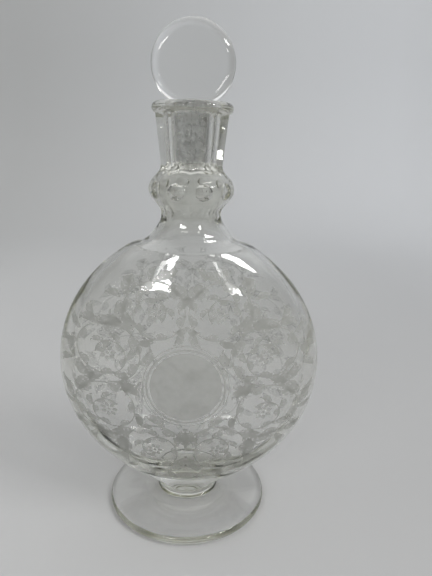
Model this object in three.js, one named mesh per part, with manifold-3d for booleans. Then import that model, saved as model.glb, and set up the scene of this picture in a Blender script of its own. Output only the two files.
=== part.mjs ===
// Footed crystal decanter: a flattened blown bowl with a panel-cut neck, an applied lip ring,
// an applied round foot and a solid disc stopper ground into the mouth.
// Millimetres, +Z up. The origin is the centre of the plane that the foot rests on, and the two
// broad faces of the bowl look along -Y (front) and +Y (back).
import * as THREE from 'three';
import { mergeVertices } from 'three/addons/utils/BufferGeometryUtils.js';
import Module from 'manifold-3d';

const wasm = await Module();
wasm.setup();

// Foot: a spread disc that rises into a short stem
const FOOT_RADIUS = 46.7;
const FOOT_EDGE = 5;
const FOOT_RISE = 2.4;
const FOOT_REST_WIDTH = 7;
const FOOT_HOLLOW = 1.2;
const STEM_RADIUS = 17.5;
const STEM_FLARE = 8;
const STEM_HEIGHT = 12.7;

// Bowl: outer size and the thickness of its walls
const BOWL_WIDTH = 147.6;
const BOWL_DEPTH = 78;
const BOWL_HEIGHT = 149.8;
const EDGE_WALL = 7;
const FACE_WALL = 4.2;
const BASE_WALL = 7.5;
const SHOULDER_DROP = 1.6;
const BASE_BLEND = 8;
const SHOULDER_BLEND = 14;
const WIDE_FLARE = 11;
const DEEP_FLARE = 6;
const FLARE_REACH = 9;
const SHOULDER_EASE = 0.09;

// Neck: heights are steps from the top of the bowl up to the lip
const WAIST_RADIUS = 16.3;
const WAIST_STEP = 9.1;
const RING_RADIUS = 22.6;
const RING_STEP = 2.5;
const RING_HALF_HEIGHT = 11.7;
const RING_EASE = 2;
const RING_PLAIN = 5.5;
const CUP_FOOT_RADIUS = 16.6;
const CUP_STEP = 1.5;
const CUP_TOP_RADIUS = 19.2;
const CUP_HEIGHT = 23.7;
const NECK_PANELS = 10;
const PANEL_FADE = 8;
const THUMB_HALF_WIDTH = 5;
const THUMB_HALF_HEIGHT = 8;
const THUMB_DEPTH = 2;

// Mouth: the lip ring and the ground seat that it shares with the neck
const LIP_RADIUS = 20.7;
const LIP_THICKNESS = 6;
const MOUTH_WIDTH = 3.4;
const MOUTH_DEPTH = 2.2;
const WAIST_BORE_RADIUS = 13.9;
const RING_BORE_RADIUS = 18.2;

// Stopper: a tapered plug under an upright disc
const PLUG_TOP_RADIUS = 9;
const PLUG_LENGTH = 29;
const PLUG_TAPER = 0.044;
const PLUG_END_ROUND = 1;
const SEAT_CLEARANCE = 0.3;
const COLLAR_HEIGHT = 3.5;
const COLLAR_TOP_RADIUS = 5;
const DISC_RADIUS = 21;
const DISC_THICKNESS = 11;
const DISC_DOME = 0.6;
const DISC_GAP = 0.85;

// How finely round forms are divided
const STEPS_PER_PANEL = 6;
const BORE_SIDES = 40;
const FOOT_SIDES = 52;
const DISC_SIDES = 40;
const BOWL_LEVELS = 20;
const SHOULDER_LEVELS = 4;
const STEP_LEVELS = 2;
const RING_LEVELS = 8;
const CAVITY_LEVELS = 16;
const BORE_LEVELS = 10;
const THUMB_SIDES = 24;
const THUMB_LEVELS = 16;
const CURVE_STEPS = 5;

// Levels that follow from the sizes
const BOWL_CENTRE_Z = STEM_HEIGHT + BOWL_HEIGHT / 2;
const BOWL_TOP_Z = STEM_HEIGHT + BOWL_HEIGHT;
const WAIST_Z = BOWL_TOP_Z + WAIST_STEP;
const RING_Z = WAIST_Z + RING_STEP + RING_HALF_HEIGHT;
const CUP_FOOT_Z = RING_Z + RING_HALF_HEIGHT + CUP_STEP;
const LIP_SEAT_Z = CUP_FOOT_Z + CUP_HEIGHT;
const LIP_TOP_Z = LIP_SEAT_Z + LIP_THICKNESS;
const PLUG_END_Z = LIP_TOP_Z - PLUG_LENGTH;
const CAVITY_FLOOR_Z = STEM_HEIGHT + BASE_WALL;
const MOUTH_Z = LIP_TOP_Z - MOUTH_DEPTH;

// A closed geometry as a solid that can be joined and cut.
function solid(geometry) {
  const bare = new THREE.BufferGeometry();
  bare.setAttribute('position', geometry.getAttribute('position'));
  if (geometry.index) bare.setIndex(geometry.index);
  const merged = mergeVertices(bare, 1e-4);
  const corners = merged.index.array;
  const kept = [];
  for (let i = 0; i < corners.length; i += 3) {
    const [a, b, c] = corners.subarray(i, i + 3);
    if (a !== b && b !== c && c !== a) kept.push(a, b, c);
  }
  return new wasm.Manifold(new wasm.Mesh({
    numProp: 3,
    vertProperties: new Float32Array(merged.attributes.position.array),
    triVerts: new Uint32Array(kept),
  }));
}

// The geometry of a joined or cut solid.
function geometryOf(shape) {
  const mesh = shape.getMesh();
  const geometry = new THREE.BufferGeometry();
  geometry.setAttribute('position', new THREE.BufferAttribute(mesh.vertProperties, 3));
  geometry.setIndex(new THREE.BufferAttribute(mesh.triVerts, 1));
  geometry.computeVertexNormals();
  return geometry;
}

// The larger of two sizes, with the corner between them rounded over by blend.
function smoothMax(p, q, blend) {
  return (p + q + Math.hypot(p - q, blend)) / 2;
}

// The core radius that smoothMax turns into this radius where nothing else is left.
function coreFor(radius, blend) {
  return radius - blend ** 2 / (4 * radius);
}

// Half-width of a unit ellipse at a height of -1 to 1, and 0 past its ends.
function ellipse(t) {
  return Math.sqrt(Math.max(0, 1 - t * t));
}

// A profile of [radius, z] points turned about +Z, with the first side's edge at the front.
function turned(profile, sides) {
  const points = profile.map(([radius, z]) => new THREE.Vector2(radius, z));
  return new THREE.LatheGeometry(points, sides).rotateX(Math.PI / 2);
}

// Sections of {z, halfWidth, halfDepth, panels} turned about +Z, flattened to their depths and,
// by their share of panels from 0 to 1, faceted to flats between edges on the turned form.
function flattened(sections, sides) {
  const geometry = turned(sections.map((s) => [s.halfWidth, s.z]), sides);
  const position = geometry.attributes.position;
  const pitch = (2 * Math.PI) / NECK_PANELS;
  for (let i = 0; i < position.count; i += 1) {
    const s = sections[i % sections.length];
    const angle = (Math.floor(i / sections.length) / sides) * 2 * Math.PI;
    const flat = Math.cos(pitch / 2) / Math.cos((angle % pitch) - pitch / 2);
    const facet = 1 + (s.panels ?? 0) * (flat - 1);
    const depth = s.halfWidth > 0 ? s.halfDepth / s.halfWidth : 1;
    position.setX(i, position.getX(i) * facet);
    position.setY(i, position.getY(i) * facet * depth);
  }
  return geometry;
}

// Radius of the ground seat at a height; the plug is smaller by the seat's clearance.
function seatRadius(z) {
  return PLUG_TOP_RADIUS + SEAT_CLEARANCE - PLUG_TAPER * (LIP_TOP_Z - z);
}

// Share of the ring's swelling at a height, which runs out smoothly at its reach below and above.
function ringSwelling(z, below, above) {
  const reach = z > RING_Z ? above : below;
  return Math.max(0, 1 - ((z - RING_Z) / reach) ** 2) ** RING_EASE;
}

// Outline of the neck above the bowl: waist, ring and cup, without the panels.
function neckRadius(z) {
  const cup = CUP_FOOT_RADIUS + (CUP_TOP_RADIUS - CUP_FOOT_RADIUS) * ((z - CUP_FOOT_Z) / CUP_HEIGHT);
  const rise = THREE.MathUtils.clamp((z - WAIST_Z) / (CUP_FOOT_Z - WAIST_Z), 0, 1);
  const core = z > CUP_FOOT_Z ? cup : THREE.MathUtils.lerp(WAIST_RADIUS, CUP_FOOT_RADIUS, rise);
  return core + (RING_RADIUS - core) * ringSwelling(z, RING_HALF_HEIGHT, RING_HALF_HEIGHT);
}

// How far the neck's panels are cut at a height: they fade over the shoulder and round the ring.
function panelShare(z) {
  const shoulder = THREE.MathUtils.smoothstep(z, WAIST_Z - PANEL_FADE / 2, WAIST_Z + PANEL_FADE / 2);
  const ring = THREE.MathUtils.smoothstep(Math.abs(z - RING_Z), RING_PLAIN, RING_HALF_HEIGHT);
  return shoulder * ring;
}

// One level of the outside of the bowl and of the shoulder that runs up into the neck. The bowl's
// ellipsoid is eased out at its top, so that the shoulder has no step.
function outerSection(z) {
  const t = (z - BOWL_CENTRE_Z) / (BOWL_HEIGHT / 2);
  const blend = Math.min(1, t * t) * (t > 0 ? SHOULDER_BLEND : BASE_BLEND);
  const swell = ellipse(t) * THREE.MathUtils.smoothstep(1 - t, 0, SHOULDER_EASE);
  const flare = 1 - THREE.MathUtils.smoothstep(z, BOWL_TOP_Z - FLARE_REACH, WAIST_Z);
  const neckCore = coreFor(WAIST_RADIUS, SHOULDER_BLEND);
  const stemCore = coreFor(STEM_RADIUS, BASE_BLEND);
  const rise = THREE.MathUtils.clamp((t + 1) / 2, 0, 1);
  const wideCore = THREE.MathUtils.lerp(stemCore, neckCore + WIDE_FLARE * flare, rise);
  const deepCore = THREE.MathUtils.lerp(stemCore, neckCore + DEEP_FLARE * flare, rise);
  return {
    z,
    halfWidth: smoothMax((BOWL_WIDTH / 2) * swell, wideCore, blend),
    halfDepth: smoothMax((BOWL_DEPTH / 2) * swell, deepCore, blend),
    panels: panelShare(z),
  };
}

// Radius of the bore between the bowl and the seat: it swells inside the ring, which is blown hollow.
function boreRadius(z) {
  const rise = THREE.MathUtils.clamp((z - WAIST_Z) / (PLUG_END_Z - WAIST_Z), 0, 1);
  const core = THREE.MathUtils.lerp(WAIST_BORE_RADIUS, seatRadius(PLUG_END_Z), rise);
  return core + (RING_BORE_RADIUS - core) * ringSwelling(z, RING_HALF_HEIGHT, PLUG_END_Z - RING_Z);
}

// One level of the hollow: half an ellipsoid at the bottom, then the outside set in by the wall,
// and above the waist the bore.
function cavitySection(z) {
  if (z > WAIST_Z) return { z, halfWidth: boreRadius(z), halfDepth: boreRadius(z) };
  if (z < BOWL_CENTRE_Z) {
    const t = (z - BOWL_CENTRE_Z) / (BOWL_CENTRE_Z - CAVITY_FLOOR_Z);
    const halfWidth = (BOWL_WIDTH / 2 - EDGE_WALL) * ellipse(t);
    return { z, halfWidth, halfDepth: (BOWL_DEPTH / 2 - FACE_WALL) * ellipse(t) };
  }
  const rise = (z - BOWL_CENTRE_Z) / (WAIST_Z - BOWL_CENTRE_Z);
  const outer = outerSection(z + SHOULDER_DROP * rise);
  const neckWall = WAIST_RADIUS - WAIST_BORE_RADIUS;
  return {
    z,
    halfWidth: outer.halfWidth - THREE.MathUtils.lerp(EDGE_WALL, neckWall, rise),
    halfDepth: outer.halfDepth - THREE.MathUtils.lerp(FACE_WALL, neckWall, rise),
  };
}

// Heights from low to high, closer together towards both ends, as an ellipse needs.
function endwise(low, high, steps) {
  return Array.from({ length: steps + 1 }, (_, i) => (
    (low + high) / 2 - ((high - low) / 2) * Math.cos((Math.PI * i) / steps)
  ));
}

// Heights from low to high at an even step.
function even(low, high, steps) {
  return Array.from({ length: steps + 1 }, (_, i) => low + ((high - low) * i) / steps);
}

// The outside of bowl and neck as one loft, closed flat at the stem and at the lip's seat.
function bowlOutside() {
  const body = endwise(STEM_HEIGHT, BOWL_TOP_Z, BOWL_LEVELS).map(outerSection);
  const shoulder = even(BOWL_TOP_Z, WAIST_Z, SHOULDER_LEVELS).slice(1).map(outerSection);
  const levels = [
    ...even(WAIST_Z, RING_Z - RING_HALF_HEIGHT, STEP_LEVELS).slice(1),
    ...even(RING_Z - RING_HALF_HEIGHT, RING_Z + RING_HALF_HEIGHT, RING_LEVELS).slice(1),
    ...even(RING_Z + RING_HALF_HEIGHT, CUP_FOOT_Z, STEP_LEVELS).slice(1),
    LIP_SEAT_Z,
  ];
  const neck = levels.map((z) => {
    const radius = neckRadius(z);
    return { z, halfWidth: radius, halfDepth: radius, panels: panelShare(z) };
  });
  const closing = (z) => ({ z, halfWidth: 0, halfDepth: 0 });
  const sections = [closing(STEM_HEIGHT), ...body, ...shoulder, ...neck, closing(LIP_SEAT_Z)];
  return solid(flattened(sections, NECK_PANELS * STEPS_PER_PANEL));
}

// The hollow inside the bowl, its bore and the ground seat, running out past the lip's seat.
function bowlCavity() {
  const body = endwise(CAVITY_FLOOR_Z, BOWL_TOP_Z, CAVITY_LEVELS).map(cavitySection);
  const shoulder = even(BOWL_TOP_Z, WAIST_Z, SHOULDER_LEVELS).slice(1).map(cavitySection);
  const bore = even(WAIST_Z, PLUG_END_Z, BORE_LEVELS).slice(1).map(cavitySection);
  const past = LIP_SEAT_Z + SEAT_CLEARANCE;
  const seat = { z: past, halfWidth: seatRadius(past), halfDepth: seatRadius(past) };
  const sections = [...body, ...shoulder, ...bore, seat, { z: past, halfWidth: 0, halfDepth: 0 }];
  return solid(flattened(sections, BORE_SIDES));
}

// A ball, stretched to an oval, that grinds one shallow thumbprint into the neck's ring.
function thumbCutter(angle) {
  const ball = (THUMB_HALF_WIDTH ** 2 + THUMB_DEPTH ** 2) / (2 * THUMB_DEPTH);
  const reach = RING_RADIUS - THUMB_DEPTH + ball;
  const cutter = new THREE.SphereGeometry(ball, THUMB_SIDES, THUMB_LEVELS).rotateX(Math.PI / 2);
  cutter.scale(1, 1, THUMB_HALF_HEIGHT / THUMB_HALF_WIDTH);
  cutter.translate(Math.sin(angle) * reach, -Math.cos(angle) * reach, RING_Z);
  return solid(cutter);
}

function makeBowl() {
  let shape = bowlOutside().subtract(bowlCavity());
  for (let panel = 0; panel < NECK_PANELS; panel += 1) {
    shape = shape.subtract(thumbCutter(((panel + 0.5) * 2 * Math.PI) / NECK_PANELS));
  }
  return geometryOf(shape);
}

// The lip: a ring with a round nose that overhangs the neck, bored to the seat's taper and
// chamfered at the mouth.
function makeLipRing() {
  const nose = LIP_THICKNESS / 2;
  const path = new THREE.Path();
  path.moveTo(seatRadius(LIP_SEAT_Z), LIP_SEAT_Z);
  path.lineTo(LIP_RADIUS - nose, LIP_SEAT_Z);
  path.absarc(LIP_RADIUS - nose, LIP_SEAT_Z + nose, nose, -Math.PI / 2, Math.PI / 2, false);
  path.lineTo(seatRadius(MOUTH_Z) + MOUTH_WIDTH, LIP_TOP_Z);
  path.lineTo(seatRadius(MOUTH_Z), MOUTH_Z);
  path.closePath();
  const profile = path.getPoints(CURVE_STEPS).map((p) => [p.x, p.y]);
  return geometryOf(solid(turned(profile, BORE_SIDES)));
}

// The foot: hollowed a little underneath, so that it rests on a flat ring, and drawn up into the stem.
function makeFoot() {
  const nose = FOOT_EDGE / 2;
  const restOuter = FOOT_RADIUS - nose;
  const restInner = restOuter - FOOT_REST_WIDTH;
  const flareFoot = FOOT_EDGE + FOOT_RISE;
  const path = new THREE.Path();
  path.moveTo(0, FOOT_HOLLOW);
  path.quadraticCurveTo(restInner / 2, FOOT_HOLLOW, restInner, 0);
  path.lineTo(restOuter, 0);
  path.absarc(restOuter, nose, nose, -Math.PI / 2, Math.PI / 2, false);
  path.quadraticCurveTo((restOuter + STEM_RADIUS) / 2, FOOT_EDGE, STEM_RADIUS + STEM_FLARE, flareFoot);
  path.quadraticCurveTo(STEM_RADIUS, flareFoot, STEM_RADIUS, (flareFoot + STEM_HEIGHT) / 2);
  path.lineTo(STEM_RADIUS, STEM_HEIGHT);
  path.lineTo(0, STEM_HEIGHT);
  const profile = path.getPoints(CURVE_STEPS).map((p) => [p.x, p.y]);
  return geometryOf(solid(turned(profile, FOOT_SIDES)));
}

// Height of the disc's centre, where its rim stays clear of the mouth's chamfer.
function discCentre() {
  const slope = MOUTH_DEPTH / MOUTH_WIDTH;
  const chamferOnAxis = MOUTH_Z - slope * seatRadius(MOUTH_Z);
  return chamferOnAxis + (DISC_RADIUS + DISC_GAP) * Math.hypot(1, slope);
}

// The stopper's disc: two faces that are domed a little and a half-round rim, standing on edge.
function stopperDisc() {
  const rim = DISC_THICKNESS / 2 - DISC_DOME;
  const path = new THREE.Path();
  path.moveTo(0, -DISC_THICKNESS / 2);
  path.quadraticCurveTo((DISC_RADIUS - rim) / 2, -DISC_THICKNESS / 2, DISC_RADIUS - rim, -rim);
  path.absarc(DISC_RADIUS - rim, 0, rim, -Math.PI / 2, Math.PI / 2, false);
  path.quadraticCurveTo((DISC_RADIUS - rim) / 2, DISC_THICKNESS / 2, 0, DISC_THICKNESS / 2);
  const profile = path.getPoints(CURVE_STEPS).map((p) => [p.x, p.y]);
  const disc = turned(profile, DISC_SIDES).rotateX(Math.PI / 2);
  return solid(disc.translate(0, 0, discCentre()));
}

// The stopper's plug: a rounded end, the ground taper, and a collar that runs up into the disc.
function stopperPlug() {
  const plugRadius = (z) => seatRadius(z) - SEAT_CLEARANCE;
  const end = plugRadius(PLUG_END_Z);
  const roundedZ = PLUG_END_Z + PLUG_END_ROUND;
  const collarTop = MOUTH_Z + COLLAR_HEIGHT;
  const path = new THREE.Path();
  path.moveTo(0, PLUG_END_Z);
  path.lineTo(end - PLUG_END_ROUND, PLUG_END_Z);
  path.quadraticCurveTo(end, PLUG_END_Z, plugRadius(roundedZ), roundedZ);
  path.lineTo(plugRadius(MOUTH_Z), MOUTH_Z);
  path.quadraticCurveTo(plugRadius(MOUTH_Z), (MOUTH_Z + collarTop) / 2, COLLAR_TOP_RADIUS, collarTop);
  path.lineTo(0, collarTop);
  const profile = path.getPoints(CURVE_STEPS).map((p) => [p.x, p.y]);
  return solid(turned(profile, BORE_SIDES));
}

function makeStopper() {
  return geometryOf(stopperDisc().add(stopperPlug()));
}

const CRYSTAL = new THREE.MeshStandardMaterial({ color: 0xdfe3df, roughness: 0.04, metalness: 0 });
const GROUND_CRYSTAL = new THREE.MeshStandardMaterial({ color: 0xd3d7d4, roughness: 0.12, metalness: 0 });

function named(name, geometry, material) {
  const mesh = new THREE.Mesh(geometry, material);
  mesh.name = name;
  return mesh;
}

const decanter = new THREE.Group();
decanter.add(named('foot', makeFoot(), CRYSTAL));
decanter.add(named('bowl', makeBowl(), CRYSTAL));
decanter.add(named('lip_ring', makeLipRing(), CRYSTAL));
decanter.add(named('stopper', makeStopper(), GROUND_CRYSTAL));

export default decanter;
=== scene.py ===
# Footed crystal decanter with a disc stopper and etched foliage. Metres, +Z up, front towards -Y.
import math

import bmesh
import bpy
from mathutils import Matrix, Vector


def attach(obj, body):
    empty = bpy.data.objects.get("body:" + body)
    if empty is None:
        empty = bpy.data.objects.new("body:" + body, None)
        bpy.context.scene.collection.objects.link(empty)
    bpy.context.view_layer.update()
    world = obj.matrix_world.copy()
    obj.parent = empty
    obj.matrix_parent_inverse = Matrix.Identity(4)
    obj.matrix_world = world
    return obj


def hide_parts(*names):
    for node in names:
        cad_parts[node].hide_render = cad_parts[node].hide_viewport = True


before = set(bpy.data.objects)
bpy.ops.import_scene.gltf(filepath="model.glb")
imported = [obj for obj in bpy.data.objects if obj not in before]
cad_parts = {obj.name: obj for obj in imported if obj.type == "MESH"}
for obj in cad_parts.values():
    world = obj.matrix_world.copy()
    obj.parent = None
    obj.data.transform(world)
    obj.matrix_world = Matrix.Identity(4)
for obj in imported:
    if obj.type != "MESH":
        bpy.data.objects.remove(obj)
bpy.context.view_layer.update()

MM = 0.001
FULL_TURN = 2 * math.pi

# Sizes of the glass, the same as in the CAD source
FOOT_RADIUS = 46.7 * MM
FOOT_EDGE = 5 * MM
FOOT_RISE = 2.4 * MM
FOOT_REST_WIDTH = 7 * MM
FOOT_HOLLOW = 1.2 * MM
STEM_RADIUS = 17.5 * MM
STEM_FLARE = 8 * MM
STEM_HEIGHT = 12.7 * MM
BOWL_WIDTH = 147.6 * MM
BOWL_DEPTH = 78 * MM
BOWL_HEIGHT = 149.8 * MM
EDGE_WALL = 7 * MM
FACE_WALL = 4.2 * MM
BASE_WALL = 7.5 * MM
SHOULDER_DROP = 1.6 * MM
BASE_BLEND = 8 * MM
SHOULDER_BLEND = 14 * MM
WIDE_FLARE = 11 * MM
DEEP_FLARE = 6 * MM
FLARE_REACH = 9 * MM
SHOULDER_EASE = 0.09
WAIST_RADIUS = 16.3 * MM
WAIST_STEP = 9.1 * MM
RING_RADIUS = 22.6 * MM
RING_STEP = 2.5 * MM
RING_HALF_HEIGHT = 11.7 * MM
RING_EASE = 2
RING_PLAIN = 5.5 * MM
CUP_FOOT_RADIUS = 16.6 * MM
CUP_STEP = 1.5 * MM
CUP_TOP_RADIUS = 19.2 * MM
CUP_HEIGHT = 23.7 * MM
NECK_PANELS = 10
PANEL_FADE = 8 * MM
THUMB_HALF_WIDTH = 5 * MM
THUMB_HALF_HEIGHT = 8 * MM
THUMB_DEPTH = 2 * MM
LIP_RADIUS = 20.7 * MM
LIP_THICKNESS = 6 * MM
MOUTH_WIDTH = 3.4 * MM
MOUTH_DEPTH = 2.2 * MM
WAIST_BORE_RADIUS = 13.9 * MM
RING_BORE_RADIUS = 18.2 * MM
PLUG_TOP_RADIUS = 9 * MM
PLUG_LENGTH = 29 * MM
PLUG_TAPER = 0.044
PLUG_END_ROUND = 1 * MM
SEAT_CLEARANCE = 0.3 * MM
COLLAR_HEIGHT = 3.5 * MM
COLLAR_TOP_RADIUS = 5 * MM
DISC_RADIUS = 21 * MM
DISC_THICKNESS = 11 * MM
DISC_DOME = 0.6 * MM
DISC_GAP = 0.85 * MM

# Levels that follow from the sizes
BOWL_CENTRE_Z = STEM_HEIGHT + BOWL_HEIGHT / 2
BOWL_TOP_Z = STEM_HEIGHT + BOWL_HEIGHT
WAIST_Z = BOWL_TOP_Z + WAIST_STEP
RING_Z = WAIST_Z + RING_STEP + RING_HALF_HEIGHT
CUP_FOOT_Z = RING_Z + RING_HALF_HEIGHT + CUP_STEP
LIP_SEAT_Z = CUP_FOOT_Z + CUP_HEIGHT
LIP_TOP_Z = LIP_SEAT_Z + LIP_THICKNESS
PLUG_END_Z = LIP_TOP_Z - PLUG_LENGTH
CAVITY_FLOOR_Z = STEM_HEIGHT + BASE_WALL
MOUTH_Z = LIP_TOP_Z - MOUTH_DEPTH

# Steps of the meshes; a whole number for each neck panel keeps the panel edges crisp
TURN_STEPS = NECK_PANELS * 22
DISC_STEPS = 160
PLUG_STEPS = 120
BOWL_LEVELS = 80
SHOULDER_LEVELS = 10
RING_LEVELS = 40
CAVITY_LEVELS = 60
CAVITY_TOP_LEVELS = 8
BORE_LEVELS = 24
SEAT_LEVELS = 6

# Edges that bend by more than this stay crisp
BODY_CREASE = math.radians(16)
STOPPER_CREASE = math.radians(20)

# Etching
FROST_PROUD = 0.04 * MM
FACE_CENTRE_Z = 90 * MM
MEDALLION_RADIUS = 20 * MM
SCROLLS_PER_SIDE = 4
SCROLL_ORBIT = 43 * MM
RIM_LEAF_LENGTH = 9 * MM
RIM_LEAF_DROP = 2 * MM
RIM_LEAF_ANGLES = (-0.24, -0.08, 0.08, 0.24)
GAP_LEAF_ORBIT = 47 * MM
GAP_LEAF_LENGTH = 13 * MM
INNER_LEAF_ORBIT = 34 * MM
INNER_LEAF_LENGTH = 8 * MM
TENDRIL_ORBIT = 52 * MM
TENDRIL_SIZE = 9 * MM
FOLIAGE_TOP_SQUEEZE = 0.93
FOLIAGE_SPREAD = 0.08
SPREAD_START = 30 * MM
SPREAD_END = 60 * MM
FOLIAGE_REACH = 0.985

# Finish of the glass
GLASS_IOR = 1.53
GLASS_DEPTH_COLOUR = (0.8, 0.803, 0.735, 1)
BODY_DENSITY = 20
STOPPER_DENSITY = 12
POLISH_SMEAR = 0.05
WAVE_STRENGTH = 0.5
WAVE_HEIGHT = 1 * MM
GROUND_ROUGHNESS = (0.16, 0.34)
GROUND_TINTS = ((0.58, 0.58, 0.57, 1), (0.85, 0.85, 0.845, 1))
CLEAN_TINT = (1, 1, 1, 1)
# Painted shade with a residue of use: the darker tint laid on the glass by height
FILM_AND_SHADE_TINT = (0.86, 0.86, 0.83, 1)
SEAT_ZONE_RADIUS = PLUG_TOP_RADIUS + 2 * MM
SEAT_ZONE_Z = PLUG_END_Z - 1 * MM

# How much of the residue of use and painted shade is laid on at a height, as a darker tint that partly
# stands in for the shade the narrow neck shows; there is none at the very bottom and top
THIN_FILM_AND_SHADE = 0.35
FILM_AND_SHADE_BY_HEIGHT = ((50 * MM, 0), (90 * MM, THIN_FILM_AND_SHADE), (BOWL_TOP_Z, THIN_FILM_AND_SHADE), (WAIST_Z - 3 * MM, 1),
                  (CUP_FOOT_Z - 4 * MM, 1), (CUP_FOOT_Z, THIN_FILM_AND_SHADE))

# Frost of the etching, first on the front face and then on the back; the back's paler tone is painted
# light, making up for the light the back face gets only through the glass
FROST_TONES_WITH_PAINTED_LIGHT = ((0.42, 0.425, 0.392, 1), (0.6, 0.605, 0.59, 1))
FROST_COVERS = (0.52, 0.2)
FROST_THINNEST = 0.88
FROST_ROUGHNESS = 0.7

# Studio; the paper's pale tones are first at the left and then at the right, as painted light and shade:
# the floor darker and the wall brighter towards the right
FLOOR_PAINTED_SHADE_TONES = ((0.69, 0.69, 0.685, 1), (0.45, 0.45, 0.45, 1))
FLOOR_HALF_WIDTH = 0.3
WALL_PAINTED_LIGHT_TONES = ((0.645, 0.65, 0.645, 1), (0.96, 0.975, 0.995, 1))
WALL_HALF_WIDTH = 0.5
# Painted shade: a dark tone in front and at the far sides that stands in for a dimmer room round the glass
PAINTED_SHADE_TONE = (0.3, 0.3, 0.295, 1)
DARK_SIDES = (1.12, 1.24)
DARK_FRONT = (-0.6, -0.2)
PAPER_ROUGHNESS = 0.8
PAPER_GLOSS = 0.2
SWEEP_RADIUS = 1.3
SWEEP_CURVE = 0.45
SWEEP_HEIGHT = 1
FLOOR_Z = -0.3 * MM
LIGHT_DISTANCE = 0.9
LIGHT_AIM = Vector((0, 0, 0.15))
AIR_COLOUR = (0.98, 0.99, 1, 1)
AIR_LIGHT = 0.745
ROOM_LIGHT = (0.15, 0.9)
ROOM_FRONT_TO_BACK = (-0.5, 0.3)
GLASS_BOUNCES = 48

# The photograph's camera; Blender lays the sensor along the picture's longer side
EYE = (0.011, -0.267, 0.209)
PITCH = math.radians(16.1)
YAW = math.radians(0.7)
ROLL = math.radians(1.65)
FOCAL_PIXELS = 500
PHOTO_HEIGHT = 576
SENSOR_SIZE = 36
NEAR_CLIP = 0.01


def clamp(value):
    return min(1.0, max(0.0, value))


def lerp(low, high, share):
    return low + (high - low) * share


def smoothstep(value, low, high):
    share = clamp((value - low) / (high - low))
    return share * share * (3 - 2 * share)


def smooth_max(p, q, blend):
    """The larger of two sizes, with the corner between them rounded over by blend."""
    return (p + q + math.hypot(p - q, blend)) / 2


def core_for(radius, blend):
    """The core radius that smooth_max turns into this radius where nothing else is left."""
    return radius - blend ** 2 / (4 * radius)


def ellipse(t):
    return math.sqrt(max(0.0, 1 - t * t))


def seat_radius(z):
    """Radius of the ground seat at a height."""
    return PLUG_TOP_RADIUS + SEAT_CLEARANCE - PLUG_TAPER * (LIP_TOP_Z - z)


def plug_radius(z):
    return seat_radius(z) - SEAT_CLEARANCE


def ring_swelling(z, below, above):
    """Share of the ring's swelling at a height, which runs out smoothly at its reach below and above."""
    reach = above if z > RING_Z else below
    return max(0.0, 1 - ((z - RING_Z) / reach) ** 2) ** RING_EASE


def neck_radius(z):
    """Outline of waist, ring and cup, without the panels."""
    rise = clamp((z - WAIST_Z) / (CUP_FOOT_Z - WAIST_Z))
    core = lerp(WAIST_RADIUS, CUP_FOOT_RADIUS, rise)
    if z > CUP_FOOT_Z:
        core = lerp(CUP_FOOT_RADIUS, CUP_TOP_RADIUS, (z - CUP_FOOT_Z) / CUP_HEIGHT)
    return core + (RING_RADIUS - core) * ring_swelling(z, RING_HALF_HEIGHT, RING_HALF_HEIGHT)


def panel_share(z):
    """How far the neck's panels are cut: they fade over the shoulder and round the ring."""
    shoulder = smoothstep(z, WAIST_Z - PANEL_FADE / 2, WAIST_Z + PANEL_FADE / 2)
    return shoulder * smoothstep(abs(z - RING_Z), RING_PLAIN, RING_HALF_HEIGHT)


def bowl_section(z):
    """Half-width and half-depth of the outside of the bowl and shoulder."""
    t = (z - BOWL_CENTRE_Z) / (BOWL_HEIGHT / 2)
    blend = min(1.0, t * t) * (SHOULDER_BLEND if t > 0 else BASE_BLEND)
    swell = ellipse(t) * smoothstep(1 - t, 0, SHOULDER_EASE)
    flare = 1 - smoothstep(z, BOWL_TOP_Z - FLARE_REACH, WAIST_Z)
    neck_core = core_for(WAIST_RADIUS, SHOULDER_BLEND)
    stem_core = core_for(STEM_RADIUS, BASE_BLEND)
    rise = clamp((t + 1) / 2)
    wide_core = lerp(stem_core, neck_core + WIDE_FLARE * flare, rise)
    deep_core = lerp(stem_core, neck_core + DEEP_FLARE * flare, rise)
    half_width = smooth_max(BOWL_WIDTH / 2 * swell, wide_core, blend)
    half_depth = smooth_max(BOWL_DEPTH / 2 * swell, deep_core, blend)
    return half_width, half_depth


def bore_radius(z):
    """Radius of the bore between bowl and seat: it swells inside the ring, which is blown hollow."""
    rise = clamp((z - WAIST_Z) / (PLUG_END_Z - WAIST_Z))
    core = lerp(WAIST_BORE_RADIUS, seat_radius(PLUG_END_Z), rise)
    return core + (RING_BORE_RADIUS - core) * ring_swelling(z, RING_HALF_HEIGHT, PLUG_END_Z - RING_Z)


def cavity_section(z):
    """Half-width and half-depth of the hollow: half an ellipsoid, then the outside set in by the wall."""
    if z > WAIST_Z:
        return bore_radius(z), bore_radius(z)
    if z < BOWL_CENTRE_Z:
        t = ellipse((z - BOWL_CENTRE_Z) / (BOWL_CENTRE_Z - CAVITY_FLOOR_Z))
        return (BOWL_WIDTH / 2 - EDGE_WALL) * t, (BOWL_DEPTH / 2 - FACE_WALL) * t
    rise = (z - BOWL_CENTRE_Z) / (WAIST_Z - BOWL_CENTRE_Z)
    wide, deep = bowl_section(z + SHOULDER_DROP * rise)
    neck_wall = WAIST_RADIUS - WAIST_BORE_RADIUS
    return wide - lerp(EDGE_WALL, neck_wall, rise), deep - lerp(FACE_WALL, neck_wall, rise)


def even(low, high, steps):
    return [lerp(low, high, i / steps) for i in range(steps + 1)]


def endwise(low, high, steps):
    """Heights that lie closer together towards both ends, as an ellipse needs."""
    return [lerp(low, high, (1 - math.cos(math.pi * i / steps)) / 2) for i in range(steps + 1)]


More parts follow.
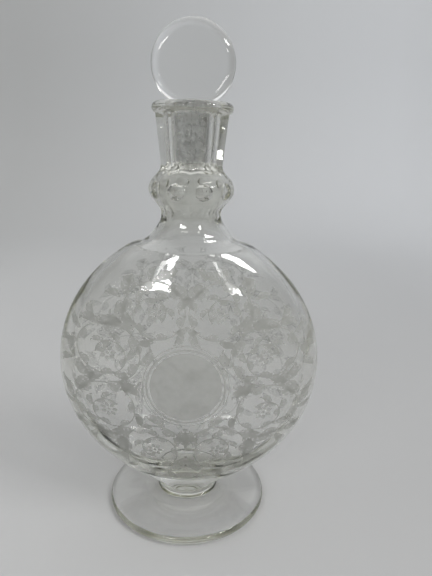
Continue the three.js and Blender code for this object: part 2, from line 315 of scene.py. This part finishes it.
def bow(start, handle, end, steps):
    """Points of a quadratic curve, without its first point."""
    points = []
    for i in range(1, steps + 1):
        t = i / steps
        a, b, c = (1 - t) ** 2, 2 * t * (1 - t), t * t
        points.append(tuple(a * p + b * q + c * r for p, q, r in zip(start, handle, end)))
    return points


def nose(centre, radius, steps):
    """Points of a half-round from its underside to its top, without the first."""
    angles = [math.pi * (i / steps - 0.5) for i in range(1, steps + 1)]
    return [(centre[0] + radius * math.cos(a), centre[1] + radius * math.sin(a)) for a in angles]


def new_piece(name, bm, material):
    """An object at the origin that holds the bmesh, shaded smooth."""
    mesh = bpy.data.meshes.new(name)
    bm.to_mesh(mesh)
    bm.free()
    piece = bpy.data.objects.new(name, mesh)
    bpy.context.scene.collection.objects.link(piece)
    mesh.materials.append(material)
    mesh.shade_smooth()
    return piece


def draw_profile(bm, points):
    """A chain of edges in the XZ plane through (radius, z) points, each extruded from the last."""
    tip = bm.verts.new((points[0][0], 0, points[0][1]))
    chain = [tip]
    for radius, z in points[1:]:
        tip = bmesh.ops.extrude_vert_indiv(bm, verts=[tip])["verts"][0]
        tip.co = (radius, 0, z)
        chain.append(tip)
    return chain


def turn(bm, steps):
    """Spins everything in the bmesh once about Z and closes the poles."""
    bmesh.ops.spin(bm, geom=bm.verts[:] + bm.edges[:], cent=(0, 0, 0), axis=(0, 0, 1),
                   angle=FULL_TURN, steps=steps, use_merge=True, use_duplicate=False)
    bmesh.ops.remove_doubles(bm, verts=bm.verts, dist=0.001 * MM)
    bmesh.ops.recalc_face_normals(bm, faces=bm.faces)


def turned(points, steps):
    """A bmesh turned about Z from (radius, z) points."""
    bm = bmesh.new()
    draw_profile(bm, points)
    turn(bm, steps)
    return bm


def combine(piece, other, operation):
    """Joins or cuts a piece by another and deletes the other."""
    step = piece.modifiers.new("combine", "BOOLEAN")
    step.object = other
    step.operation = operation
    step.solver = "EXACT"
    shown = piece.evaluated_get(bpy.context.evaluated_depsgraph_get())
    mesh = bpy.data.meshes.new_from_object(shown)
    piece.modifiers.clear()
    piece.data = mesh
    bpy.data.objects.remove(other)


def foot_profile():
    """Outside of the foot from the middle of its hollowed underside up to the stem."""
    round_edge = FOOT_EDGE / 2
    rest_outer = FOOT_RADIUS - round_edge
    rest_inner = rest_outer - FOOT_REST_WIDTH
    flare_z = FOOT_EDGE + FOOT_RISE
    flare_start = (STEM_RADIUS + STEM_FLARE, flare_z)
    flare_end = (STEM_RADIUS, (flare_z + STEM_HEIGHT) / 2)
    points = [(0, FOOT_HOLLOW)]
    points += bow(points[-1], (rest_inner / 2, FOOT_HOLLOW), (rest_inner, 0), 14)
    points += [(lerp(rest_inner, rest_outer, share), 0) for share in (0.05, 0.5, 0.95, 1)]
    points += nose((rest_outer, round_edge), round_edge, 14)
    points += bow(points[-1], ((rest_outer + STEM_RADIUS) / 2, FOOT_EDGE), flare_start, 16)
    points += bow(points[-1], (STEM_RADIUS, flare_z), flare_end, 12)
    return points


def neck_profile():
    """Outline of the neck above the waist, up to the lip."""
    low, high = RING_Z - RING_HALF_HEIGHT, RING_Z + RING_HALF_HEIGHT
    levels = even(WAIST_Z, low, 6)[1:] + even(low, high, RING_LEVELS)[1:]
    levels += even(high, CUP_FOOT_Z, 5)[1:] + even(CUP_FOOT_Z, LIP_SEAT_Z, 6)[1:]
    return [(neck_radius(z), z) for z in levels]


def lip_profile():
    """Round nose of the lip from where it leaves the cup, its top and the chamfer of the mouth."""
    round_edge = LIP_THICKNESS / 2
    centre = (LIP_RADIUS - round_edge, LIP_SEAT_Z + round_edge)
    inside_cup = 3
    points = nose(centre, round_edge, 20)[inside_cup:]
    points += [(seat_radius(MOUTH_Z) + MOUTH_WIDTH, LIP_TOP_Z), (seat_radius(MOUTH_Z), MOUTH_Z)]
    return points


def round_sections(points):
    """Sections as deep as they are wide, from (radius, z) points."""
    return [(radius, z, radius) for radius, z in points]


def flattened_sections(levels, shape):
    """Sections at these levels, from a function that gives half-width and half-depth."""
    sections = []
    for z in levels:
        half_width, half_depth = shape(z)
        sections.append((half_width, z, half_depth))
    return sections


def outer_sections():
    """(half-width, z, half-depth) up the outside, from the middle of the foot to the lip."""
    levels = endwise(STEM_HEIGHT, BOWL_TOP_Z, BOWL_LEVELS) + even(BOWL_TOP_Z, WAIST_Z, SHOULDER_LEVELS)[1:]
    bowl = flattened_sections(levels, bowl_section)
    return round_sections(foot_profile()) + bowl + round_sections(neck_profile())


def inner_sections():
    """(half-width, z, half-depth) over the lip and down the seat and bore to the floor of the hollow."""
    seat = [(seat_radius(z), z) for z in even(MOUTH_Z, PLUG_END_Z, SEAT_LEVELS)[1:]]
    levels = endwise(CAVITY_FLOOR_Z, BOWL_TOP_Z, CAVITY_LEVELS)
    levels += even(BOWL_TOP_Z, WAIST_Z, CAVITY_TOP_LEVELS)[1:]
    levels += even(WAIST_Z, PLUG_END_Z, BORE_LEVELS)[1:-1]
    return round_sections(lip_profile() + seat) + flattened_sections(levels[::-1], cavity_section)


def decanter_body(material):
    """Foot, bowl and lip as the one fused piece of glass that they are on the real object."""
    bm = bmesh.new()
    depth = bm.verts.layers.float.new("depth")
    panels = bm.verts.layers.float.new("panels")
    outer = outer_sections()
    sections = outer + inner_sections()
    chain = draw_profile(bm, [(wide, z) for wide, z, _ in sections])
    for vert, (wide, _, deep) in zip(chain, sections):
        vert[depth] = deep / wide if wide > 0 else 1.0
    for vert, (_, z, _) in zip(chain, outer):
        vert[panels] = panel_share(z)
    turn(bm, TURN_STEPS)
    pitch = FULL_TURN / NECK_PANELS
    for vert in bm.verts:
        angle = math.atan2(vert.co.x, -vert.co.y) % pitch
        flat = math.cos(pitch / 2) / math.cos(angle - pitch / 2)
        facet = 1 + vert[panels] * (flat - 1)
        vert.co.x *= facet
        vert.co.y *= facet * vert[depth]
    piece = new_piece("decanter_glass", bm, material)
    for first in (0, 1):
        combine(piece, thumb_cutters(first), "DIFFERENCE")
    piece.data.set_sharp_from_angle(angle=BODY_CREASE)
    return piece


def thumb_cutters(first):
    """Every second of the balls that grind the thumbprints into the neck's ring."""
    ball = (THUMB_HALF_WIDTH ** 2 + THUMB_DEPTH ** 2) / (2 * THUMB_DEPTH)
    bm = bmesh.new()
    for panel in range(first, NECK_PANELS, 2):
        about = Matrix.Rotation((panel + 0.5) * FULL_TURN / NECK_PANELS, 4, "Z")
        out = Matrix.Translation((0, -(RING_RADIUS - THUMB_DEPTH + ball), RING_Z))
        stretch = Matrix.Diagonal((1, 1, THUMB_HALF_HEIGHT / THUMB_HALF_WIDTH, 1))
        bmesh.ops.create_icosphere(bm, subdivisions=5, radius=ball, matrix=about @ out @ stretch)
    return new_piece("thumb_cutter", bm, None)


def disc_centre():
    """Height of the disc's centre, where its rim stays clear of the mouth's chamfer."""
    slope = MOUTH_DEPTH / MOUTH_WIDTH
    chamfer_on_axis = MOUTH_Z - slope * seat_radius(MOUTH_Z)
    return chamfer_on_axis + (DISC_RADIUS + DISC_GAP) * math.hypot(1, slope)


def disc_profile():
    """The disc lying flat: a domed face, the half-round rim and the other face."""
    face = DISC_THICKNESS / 2
    rim = face - DISC_DOME
    rim_start = DISC_RADIUS - rim
    points = [(0, -face)]
    points += bow(points[-1], (rim_start / 2, -face), (rim_start, -rim), 14)
    points += nose((rim_start, 0), rim, 28)
    points += bow(points[-1], (rim_start / 2, face), (0, face), 14)
    return points


def plug_profile():
    """The plug from the middle of its rounded end up to the collar, whose top is inside the disc."""
    end = plug_radius(PLUG_END_Z)
    rounded_z = PLUG_END_Z + PLUG_END_ROUND
    collar_z = MOUTH_Z + COLLAR_HEIGHT
    collar_handle = (plug_radius(MOUTH_Z), (MOUTH_Z + collar_z) / 2)
    points = [(0, PLUG_END_Z), (end / 2, PLUG_END_Z), (end - PLUG_END_ROUND, PLUG_END_Z)]
    points += bow(points[-1], (end, PLUG_END_Z), (plug_radius(rounded_z), rounded_z), 8)
    points += [(plug_radius(z), z) for z in even(rounded_z, MOUTH_Z, 10)[1:]]
    points += bow(points[-1], collar_handle, (COLLAR_TOP_RADIUS, collar_z), 16)
    points += [(0, collar_z)]
    return points


def stopper(material):
    """Upright disc with a half-round rim, on a plug with a rounded end and a collar."""
    disc = turned(disc_profile(), DISC_STEPS)
    stand = Matrix.Translation((0, 0, disc_centre())) @ Matrix.Rotation(math.pi / 2, 4, "X")
    bmesh.ops.transform(disc, matrix=stand, verts=disc.verts)
    piece = new_piece("stopper_glass", disc, material)
    combine(piece, new_piece("plug", turned(plug_profile(), PLUG_STEPS), material), "UNION")
    piece.data.set_sharp_from_angle(angle=STOPPER_CREASE)
    return piece


def stroke(bm, path, width):
    """A flat line along 2-D points, as wide at each point as width(share) says."""
    last = len(path) - 1
    rails = []
    for i, point in enumerate(path):
        ahead = path[min(last, i + 1)] - path[max(0, i - 1)]
        across = Vector((-ahead.y, ahead.x)).normalized() * (width(i / last) / 2)
        rails.append((point + across, point - across))
    ends = [bm.verts.new((rail.x, 0, rail.y)) for rail in rails[0]]
    edge = bm.edges.new(ends)
    for left, right in rails[1:]:
        made = bmesh.ops.extrude_edge_only(bm, edges=[edge])["geom"]
        edge = next(item for item in made if isinstance(item, bmesh.types.BMEdge))
        ends = sorted(edge.verts, key=lambda vert: (vert.co - ends[0].co).length)
        ends[0].co = (left.x, 0, left.y)
        ends[1].co = (right.x, 0, right.y)


def heading(angle, length=1.0):
    return Vector((math.cos(angle), math.sin(angle))) * length


def bent(base, angle, length, curl, steps):
    """Points along a line that starts at an angle and turns by curl."""
    path = [base.copy()]
    for i in range(steps):
        path.append(path[-1] + heading(angle + curl * (i + 0.5) / steps, length / steps))
    return path


def lobe(bm, base, angle, length, breadth, curl):
    """One pointed lobe of a leaf, broadest near its root."""
    path = bent(base, angle, length, curl, steps=7)
    stroke(bm, path, lambda t: breadth * max(0.05, math.sin(math.pi * t ** 0.7)) ** 0.8)


def dot(bm, centre, radius):
    """A round drop, such as the one that ends a tendril."""
    path = [centre + Vector((radius * (i / 4 - 1), 0)) for i in range(9)]
    stroke(bm, path, lambda t: 2 * radius * max(0.1, ellipse(2 * t - 1)))


def draw_medallion(bm):
    """A frosted round inside a ring of unit radius and a thinner one, in hoops that follow the bowl."""
    steps = 13
    hoops = [((i + 0.5) / steps, 1 / steps) for i in range(steps - 1)]
    for radius, width in hoops + [(1, 0.065), (1.1, 0.03)]:
        ring = [heading(FULL_TURN * i / 120, radius) for i in range(121)]
        stroke(bm, ring, lambda t: width)


def draw_leaf(bm):
    """A curling acanthus leaf of unit length: a thin rib with five lobes on each side and a curled tip."""
    rib = bent(Vector((0, 0)), angle=-0.25, length=0.86, curl=1.1, steps=14)
    stroke(bm, rib, lambda t: 0.075 * (1 - 0.6 * t))
    for i, share in ((1, 0.7), (4, 1.0), (7, 0.9), (9, 0.72), (11, 0.5)):
        along = rib[i + 1] - rib[i]
        angle = math.atan2(along.y, along.x)
        for side in (-1, 1):
            lobe(bm, rib[i], angle + side * 1.05, length=0.42 * share, breadth=0.15 * share,
                 curl=-side * 1.25)
    lobe(bm, rib[13], angle=0.8, length=0.26, breadth=0.12, curl=1.2)


def draw_rosette(bm):
    """Petals of unit reach round a drop."""
    petals = 7
    for i in range(petals):
        angle = FULL_TURN * i / petals
        lobe(bm, heading(angle, 0.34), angle, length=0.66, breadth=0.5, curl=0.0)
    dot(bm, Vector((0, 0)), radius=0.2)


def draw_tendril(bm):
    """A thin curl of about unit size that winds up and ends in a drop."""
    steps, length, winding = 30, 1.9, 6.8
    path = [Vector((0, 0))]
    for i in range(steps):
        t = i / steps
        path.append(path[-1] + heading(winding * t * t, length / steps * (1 - 0.6 * t)))
    stroke(bm, path, lambda t: 0.1 * (1 - 0.3 * t))
    dot(bm, path[-1], radius=0.1)


def draw_scroll(bm, leaf, rosette):
    """A stem that follows the unit circle at first and then winds in to a rosette, with leaves along it."""
    steps, turns, leaf_every = 84, 1.75, 4
    path = []
    for i in range(steps + 1):
        t = i / steps
        path.append(heading(FULL_TURN * turns * t, 1 - 0.66 * smoothstep(t, 0.22, 1.0)))
    stroke(bm, path, lambda t: 0.06 * (1 - 0.35 * t))
    for i in range(2, steps - leaf_every, leaf_every):
        along = path[i + 1] - path[i - 1]
        side = 1 if i // leaf_every % 2 else -1
        angle = math.atan2(along.y, along.x) + side * 0.7
        size = 0.6 if side > 0 else 0.78
        add_motif(bm, leaf, path[i], angle, size * (1 - 0.5 * i / steps), -side)
    add_motif(bm, rosette, Vector((0, 0)), angle=0.0, size=0.27)


def motif(draw, *others):
    """A flat drawing kept as a mesh, to be added many times."""
    bm = bmesh.new()
    draw(bm, *others)
    mesh = bpy.data.meshes.new("motif")
    bm.to_mesh(mesh)
    bm.free()
    return mesh


def add_motif(bm, drawing, base, angle, size, flip=1):
    """Adds a motif, turned and scaled and, with a flip of -1, mirrored about its own axis."""
    copy = drawing.copy()
    spun = Matrix.Rotation(-angle, 4, "Y") @ Matrix.Diagonal((size, size, size * flip, 1))
    copy.transform(Matrix.Translation((base.x, 0, base.y)) @ spun)
    bm.from_mesh(copy)
    bpy.data.meshes.remove(copy)


def half_foliage(bm):
    """Right half of the foliage: a chain of scrolls round the middle, with leaves in the gaps."""
    leaf, tendril = motif(draw_leaf), motif(draw_tendril)
    scroll = motif(draw_scroll, leaf, motif(draw_rosette))
    spacing = math.pi / SCROLLS_PER_SIDE
    radius = SCROLL_ORBIT * math.sin(spacing / 2)
    for i in range(SCROLLS_PER_SIDE):
        angle = -math.pi / 2 + spacing * (i + 0.5)
        centre = heading(angle, SCROLL_ORBIT)
        away = heading(angle - spacing / 2, SCROLL_ORBIT * math.cos(spacing / 2)) - centre
        add_motif(bm, scroll, centre, math.atan2(away.y, away.x), radius, 1 if i % 2 else -1)
        for aside in RIM_LEAF_ANGLES:
            drop = RIM_LEAF_DROP * abs(aside) / max(RIM_LEAF_ANGLES)
            base = heading(angle + aside, SCROLL_ORBIT + radius - drop)
            add_motif(bm, leaf, base, angle + 2.4 * aside, RIM_LEAF_LENGTH, 1 if aside > 0 else -1)
    for i in range(SCROLLS_PER_SIDE + 1):
        angle = -math.pi / 2 + spacing * i
        for side in (-1, 1):
            past_middle = i in (0, SCROLLS_PER_SIDE) and (side > 0) == (i > 0)
            if past_middle:
                continue
            gap, inner = heading(angle, GAP_LEAF_ORBIT), heading(angle, INNER_LEAF_ORBIT)
            curl = heading(angle + 0.04 * side, TENDRIL_ORBIT)
            add_motif(bm, leaf, gap, angle + 0.6 * side, GAP_LEAF_LENGTH, side)
            add_motif(bm, leaf, inner, angle + math.pi - 0.7 * side, INNER_LEAF_LENGTH, -side)
            add_motif(bm, tendril, curl, angle + 0.5 * side, TENDRIL_SIZE, side)


def etched_foliage(name, material, side, medallion):
    """Running scrolls laid on one broad face of the bowl, with or without the medallion in the middle."""
    bm = bmesh.new()
    half_foliage(bm)
    bmesh.ops.mirror(bm, geom=bm.verts[:] + bm.edges[:] + bm.faces[:], axis="X", merge_dist=0)
    for vert in bm.verts:
        vert.co.z *= FOLIAGE_TOP_SQUEEZE if vert.co.z > 0 else 1
    if medallion:
        add_motif(bm, motif(draw_medallion), Vector((0, 0)), angle=0.0, size=MEDALLION_RADIUS)
    for vert in bm.verts:
        z = FACE_CENTRE_Z + vert.co.z
        half_width, half_depth = bowl_section(z)
        reach = FOLIAGE_REACH * half_width
        spread = 1 + FOLIAGE_SPREAD * smoothstep(abs(vert.co.x), SPREAD_START, SPREAD_END)
        x = max(-reach, min(reach, vert.co.x * spread))
        y = half_depth * ellipse(x / half_width)
        rise = (z - BOWL_CENTRE_Z) / (BOWL_HEIGHT / 2) ** 2
        normal = Vector((x / half_width ** 2, y / half_depth ** 2, rise)).normalized()
        vert.co = Vector((x, y, z)) + normal * FROST_PROUD
        vert.co.y *= side
    for face in bm.faces:
        face.normal_update()
        if face.normal.y * side < 0:
            face.normal_flip()
    return new_piece(name, bm, material)


def feed(tree, given, target):
    """Links a socket to an input, or sets the input to a plain number or colour."""
    if isinstance(given, bpy.types.NodeSocket):
        tree.links.new(given, target)
    else:
        target.default_value = given


def calculate(tree, operation, first, second=0.0):
    """A Math node on one or two sockets or numbers."""
    node = tree.nodes.new("ShaderNodeMath")
    node.operation = operation
    feed(tree, first, node.inputs[0])
    feed(tree, second, node.inputs[1])
    return node.outputs[0]


def span(tree, value, low, high, first=0.0, second=1.0):
    """A number that runs from the first to the second while the value runs from low to high."""
    node = tree.nodes.new("ShaderNodeMapRange")
    ends = {"Value": value, "From Min": low, "From Max": high, "To Min": first, "To Max": second}
    for name, given in ends.items():
        feed(tree, given, node.inputs[name])
    return node.outputs["Result"]


def shade(tree, value, low, high, first, second):
    """A colour that runs from the first to the second while the value runs from low to high."""
    mix = tree.nodes.new("ShaderNodeMix")
    mix.data_type = "RGBA"
    tree.links.new(span(tree, value, low, high), mix.inputs["Factor"])
    feed(tree, first, mix.inputs["A"])
    feed(tree, second, mix.inputs["B"])
    return mix.outputs["Result"]


def noise(tree, where, scale, detail):
    node = tree.nodes.new("ShaderNodeTexNoise")
    node.inputs["Scale"].default_value = scale
    node.inputs["Detail"].default_value = detail
    tree.links.new(where, node.inputs["Vector"])
    return node.outputs["Fac"]


def coordinates(tree, kind="Object"):
    return tree.nodes.new("ShaderNodeTexCoord").outputs[kind]


def split(tree, where):
    """The X, Y and Z of coordinates."""
    node = tree.nodes.new("ShaderNodeSeparateXYZ")
    tree.links.new(where, node.inputs["Vector"])
    return node.outputs


def new_material(name):
    """A material with its Principled shader and its output."""
    material = bpy.data.materials.new(name)
    material.use_nodes = True
    tree = material.node_tree
    tree.nodes.clear()
    out = tree.nodes.new("ShaderNodeOutputMaterial")
    shader = tree.nodes.new("ShaderNodeBsdfPrincipled")
    tree.links.new(shader.outputs["BSDF"], out.inputs["Surface"])
    return material, shader, out


def crystal_wear_and_shade():
    """Finish of used crystal: a smeared polish, a residue of use with painted shade, a mottled grain where
    it is ground, slow waves.
    """
    group = bpy.data.node_groups.new("crystal_wear_and_shade", "ShaderNodeTree")
    for name in ("Ground", "FilmAndShade", "Smear"):
        group.interface.new_socket(name, in_out="INPUT", socket_type="NodeSocketFloat")
    group.interface.new_socket("Tint", in_out="OUTPUT", socket_type="NodeSocketColor")
    for name in ("Roughness", "Waves"):
        group.interface.new_socket(name, in_out="OUTPUT", socket_type="NodeSocketFloat")
    given = group.nodes.new("NodeGroupInput").outputs
    result = group.nodes.new("NodeGroupOutput").inputs
    where = coordinates(group)
    clouds = noise(group, where, scale=110, detail=5)
    polish = span(group, clouds, 0.5, 0.8, 0.0, given["Smear"])
    grain = span(group, clouds, 0.38, 0.62, *GROUND_ROUGHNESS)
    group.links.new(span(group, given["Ground"], 0, 1, polish, grain), result["Roughness"])
    specks = noise(group, where, scale=650, detail=4)
    mottle = shade(group, specks, 0.36, 0.5, *GROUND_TINTS)
    # Painted shade with a residue of use: the tint darkens the glass where the given share is high
    film_and_shade = shade(group, given["FilmAndShade"], 0, 1, CLEAN_TINT, FILM_AND_SHADE_TINT)
    group.links.new(shade(group, given["Ground"], 0, 1, film_and_shade, mottle), result["Tint"])
    group.links.new(noise(group, where, scale=45, detail=1), result["Waves"])
    return group


def seat_zone(tree, at):
    """The ground seat inside the mouth."""
    flat = tree.nodes.new("ShaderNodeCombineXYZ")
    tree.links.new(at["X"], flat.inputs["X"])
    tree.links.new(at["Y"], flat.inputs["Y"])
    length = tree.nodes.new("ShaderNodeVectorMath")
    length.operation = "LENGTH"
    tree.links.new(flat.outputs["Vector"], length.inputs[0])
    inside = calculate(tree, "LESS_THAN", length.outputs["Value"], SEAT_ZONE_RADIUS)
    above = calculate(tree, "GREATER_THAN", at["Z"], SEAT_ZONE_Z)
    return calculate(tree, "MULTIPLY", inside, above)


def plug_zone(tree, at):
    """The ground side of the stopper's plug."""
    return calculate(tree, "LESS_THAN", at["Z"], MOUTH_Z)


def film_and_painted_shade(tree, height):
    """Residue of use and painted shade, as a darker tint: thin in the bowl, thickest in the narrow neck,
    none on the foot.
    """
    ramp = tree.nodes.new("ShaderNodeValToRGB")
    stops = ramp.color_ramp.elements
    stops[1].color = (0, 0, 0, 1)
    for z, film_and_shade in FILM_AND_SHADE_BY_HEIGHT:
        stops.new(z / LIP_TOP_Z).color = (film_and_shade, film_and_shade, film_and_shade, 1)
    tree.links.new(calculate(tree, "MULTIPLY", height, 1 / LIP_TOP_Z), ramp.inputs["Fac"])
    return ramp.outputs["Color"]


def crystal(name, wear_and_shade, ground_zone, filmed_and_shaded, density):
    """Clear crystal whose ground zone is matt, with a faint olive depth."""
    material, glass, out = new_material(name)
    tree = material.node_tree
    glass.inputs["Transmission Weight"].default_value = 1
    glass.inputs["IOR"].default_value = GLASS_IOR
    depth = tree.nodes.new("ShaderNodeVolumeAbsorption")
    depth.inputs["Color"].default_value = GLASS_DEPTH_COLOUR
    depth.inputs["Density"].default_value = density
    tree.links.new(depth.outputs["Volume"], out.inputs["Volume"])
    at = split(tree, coordinates(tree))
    finish = tree.nodes.new("ShaderNodeGroup")
    finish.node_tree = wear_and_shade
    finish.inputs["Smear"].default_value = POLISH_SMEAR
    tree.links.new(ground_zone(tree, at), finish.inputs["Ground"])
    # The darker tint by height is partly painted shade
    if filmed_and_shaded:
        tree.links.new(film_and_painted_shade(tree, at["Z"]), finish.inputs["FilmAndShade"])
    tree.links.new(finish.outputs["Tint"], glass.inputs["Base Color"])
    tree.links.new(finish.outputs["Roughness"], glass.inputs["Roughness"])
    bump = tree.nodes.new("ShaderNodeBump")
    bump.inputs["Strength"].default_value = WAVE_STRENGTH
    bump.inputs["Distance"].default_value = WAVE_HEIGHT
    tree.links.new(finish.outputs["Waves"], bump.inputs["Height"])
    tree.links.new(bump.outputs["Normal"], glass.inputs["Normal"])
    return material


def acid_frost():
    """Grey frost with a fine grain, thinner on the back face and painted paler there as painted light."""
    material, frost, _ = new_material("acid_frost")
    tree = material.node_tree
    frost.inputs["Roughness"].default_value = FROST_ROUGHNESS
    where = coordinates(tree)
    at = split(tree, where)
    back = calculate(tree, "GREATER_THAN", at["Y"], 0)
    # Painted light: the back face's frost is paler to make up for the light it gets only through the glass
    tree.links.new(shade(tree, back, 0, 1, *FROST_TONES_WITH_PAINTED_LIGHT), frost.inputs["Base Color"])
    most = span(tree, back, 0, 1, *FROST_COVERS)
    least = calculate(tree, "MULTIPLY", most, FROST_THINNEST)
    grain = noise(tree, where, scale=350, detail=3)
    tree.links.new(span(tree, grain, 0.25, 0.7, least, most), frost.inputs["Alpha"])
    return material


def studio_paper():
    """Pale paper with painted light and shade; it is painted dark in front and far out at both sides as
    painted shade, which gives the glass its dark edges.
    """
    material, paper, _ = new_material("studio_paper")
    tree = material.node_tree
    paper.inputs["Roughness"].default_value = PAPER_ROUGHNESS
    paper.inputs["Specular IOR Level"].default_value = PAPER_GLOSS
    at = split(tree, coordinates(tree))
    # Painted light and shade: the floor darkens and the wall brightens towards the right
    floor = shade(tree, at["X"], -FLOOR_HALF_WIDTH, FLOOR_HALF_WIDTH, *FLOOR_PAINTED_SHADE_TONES)
    wall = shade(tree, at["X"], -WALL_HALF_WIDTH, WALL_HALF_WIDTH, *WALL_PAINTED_LIGHT_TONES)
    pale = shade(tree, at["Y"], 0, SWEEP_RADIUS, floor, wall)
    aside = calculate(tree, "ABSOLUTE", at["X"])
    flanked = shade(tree, aside, *DARK_SIDES, pale, PAINTED_SHADE_TONE)
    tree.links.new(shade(tree, at["Y"], *DARK_FRONT, PAINTED_SHADE_TONE, flanked), paper.inputs["Base Color"])
    return material


def studio_sweep():
    """Round sheet of paper that curves up into a wall on all sides."""
    points = [(0, FLOOR_Z), (SWEEP_RADIUS - SWEEP_CURVE, FLOOR_Z)]
    points += bow(points[-1], (SWEEP_RADIUS, FLOOR_Z), (SWEEP_RADIUS, SWEEP_CURVE), 16)
    points += [(SWEEP_RADIUS, SWEEP_HEIGHT)]
    sweep = new_piece("studio_sweep", turned(points, 96), studio_paper())


def studio_light(name, azimuth, elevation, width, height, power):
    """A soft light that faces the bowl; azimuth is from the front, towards +X."""
    lamp = bpy.data.lights.new(name, "AREA")
    lamp.shape = "RECTANGLE"
    lamp.size = width
    lamp.size_y = height
    lamp.energy = power
    a, e = math.radians(azimuth), math.radians(elevation)
    away = Vector((math.sin(a) * math.cos(e), -math.cos(a) * math.cos(e), math.sin(e)))
    light = bpy.data.objects.new(name, lamp)
    light.location = LIGHT_AIM + away * LIGHT_DISTANCE
    light.rotation_euler = away.to_track_quat("Z", "Y").to_euler()
    bpy.context.scene.collection.objects.link(light)


def studio_world():
    """Even light from above, which the glass shows as a dim room that is darkest in front."""
    world = bpy.data.worlds.new("studio_air")
    world.use_nodes = True
    tree = world.node_tree
    air = tree.nodes["Background"]
    air.inputs["Color"].default_value = AIR_COLOUR
    path = tree.nodes.new("ShaderNodeLightPath").outputs
    seen = path["Is Camera Ray"]
    for kind in ("Is Glossy Ray", "Is Transmission Ray"):
        seen = calculate(tree, "MAXIMUM", seen, path[kind])
    not_bounced = calculate(tree, "LESS_THAN", path["Diffuse Depth"], 0.5)
    seen = calculate(tree, "MULTIPLY", seen, not_bounced)
    at = split(tree, coordinates(tree, "Generated"))
    room = span(tree, at["Y"], *ROOM_FRONT_TO_BACK, *ROOM_LIGHT)
    tree.links.new(span(tree, seen, 0, 1, AIR_LIGHT, room), air.inputs["Strength"])
    bpy.context.scene.world = world


def photo_camera():
    """The photograph's viewpoint: close to the decanter, below the lip's level and tilted down."""
    right = Vector((math.cos(YAW), -math.sin(YAW), 0))
    ahead = Vector((math.sin(YAW) * math.cos(PITCH), math.cos(YAW) * math.cos(PITCH), -math.sin(PITCH)))
    up = right.cross(ahead)
    x = right * math.cos(ROLL) + up * math.sin(ROLL)
    y = up * math.cos(ROLL) - right * math.sin(ROLL)
    data = bpy.data.cameras.new("photo_camera")
    data.sensor_width = SENSOR_SIZE
    data.lens = SENSOR_SIZE * FOCAL_PIXELS / PHOTO_HEIGHT
    data.clip_start = NEAR_CLIP
    camera = bpy.data.objects.new("photo_camera", data)
    stand = Matrix((x, y, -ahead)).transposed().to_4x4()
    stand.translation = EYE
    camera.matrix_world = stand
    bpy.context.scene.collection.objects.link(camera)
    bpy.context.scene.camera = camera


photo_camera()

wear_and_shade = crystal_wear_and_shade()
body = decanter_body(crystal("clear_crystal", wear_and_shade, seat_zone, True, BODY_DENSITY))
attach(body, "decanter")
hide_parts("foot", "bowl", "lip_ring")

plug = stopper(crystal("stopper_crystal", wear_and_shade, plug_zone, False, STOPPER_DENSITY))
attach(plug, "stopper")
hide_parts("stopper")

frost = acid_frost()
for name, side, medallion in (("front_etching", -1, True), ("back_etching", 1, False)):
    foliage = etched_foliage(name, frost, side, medallion)
    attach(foliage, "decanter")

studio_sweep()
studio_light("left_window", azimuth=-26, elevation=24, width=0.34, height=0.045, power=1.1)
studio_light("right_window", azimuth=62, elevation=40, width=0.4, height=0.08, power=2.8)
studio_light("front_light", azimuth=33, elevation=25, width=0.12, height=0.06, power=0.5)
studio_world()
bpy.context.scene.cycles.blur_glossy = 0
bpy.context.scene.cycles.max_bounces = GLASS_BOUNCES
bpy.context.scene.cycles.transmission_bounces = GLASS_BOUNCES
bpy.context.scene.cycles.glossy_bounces = GLASS_BOUNCES
bpy.context.scene.view_settings.view_transform = "Standard"
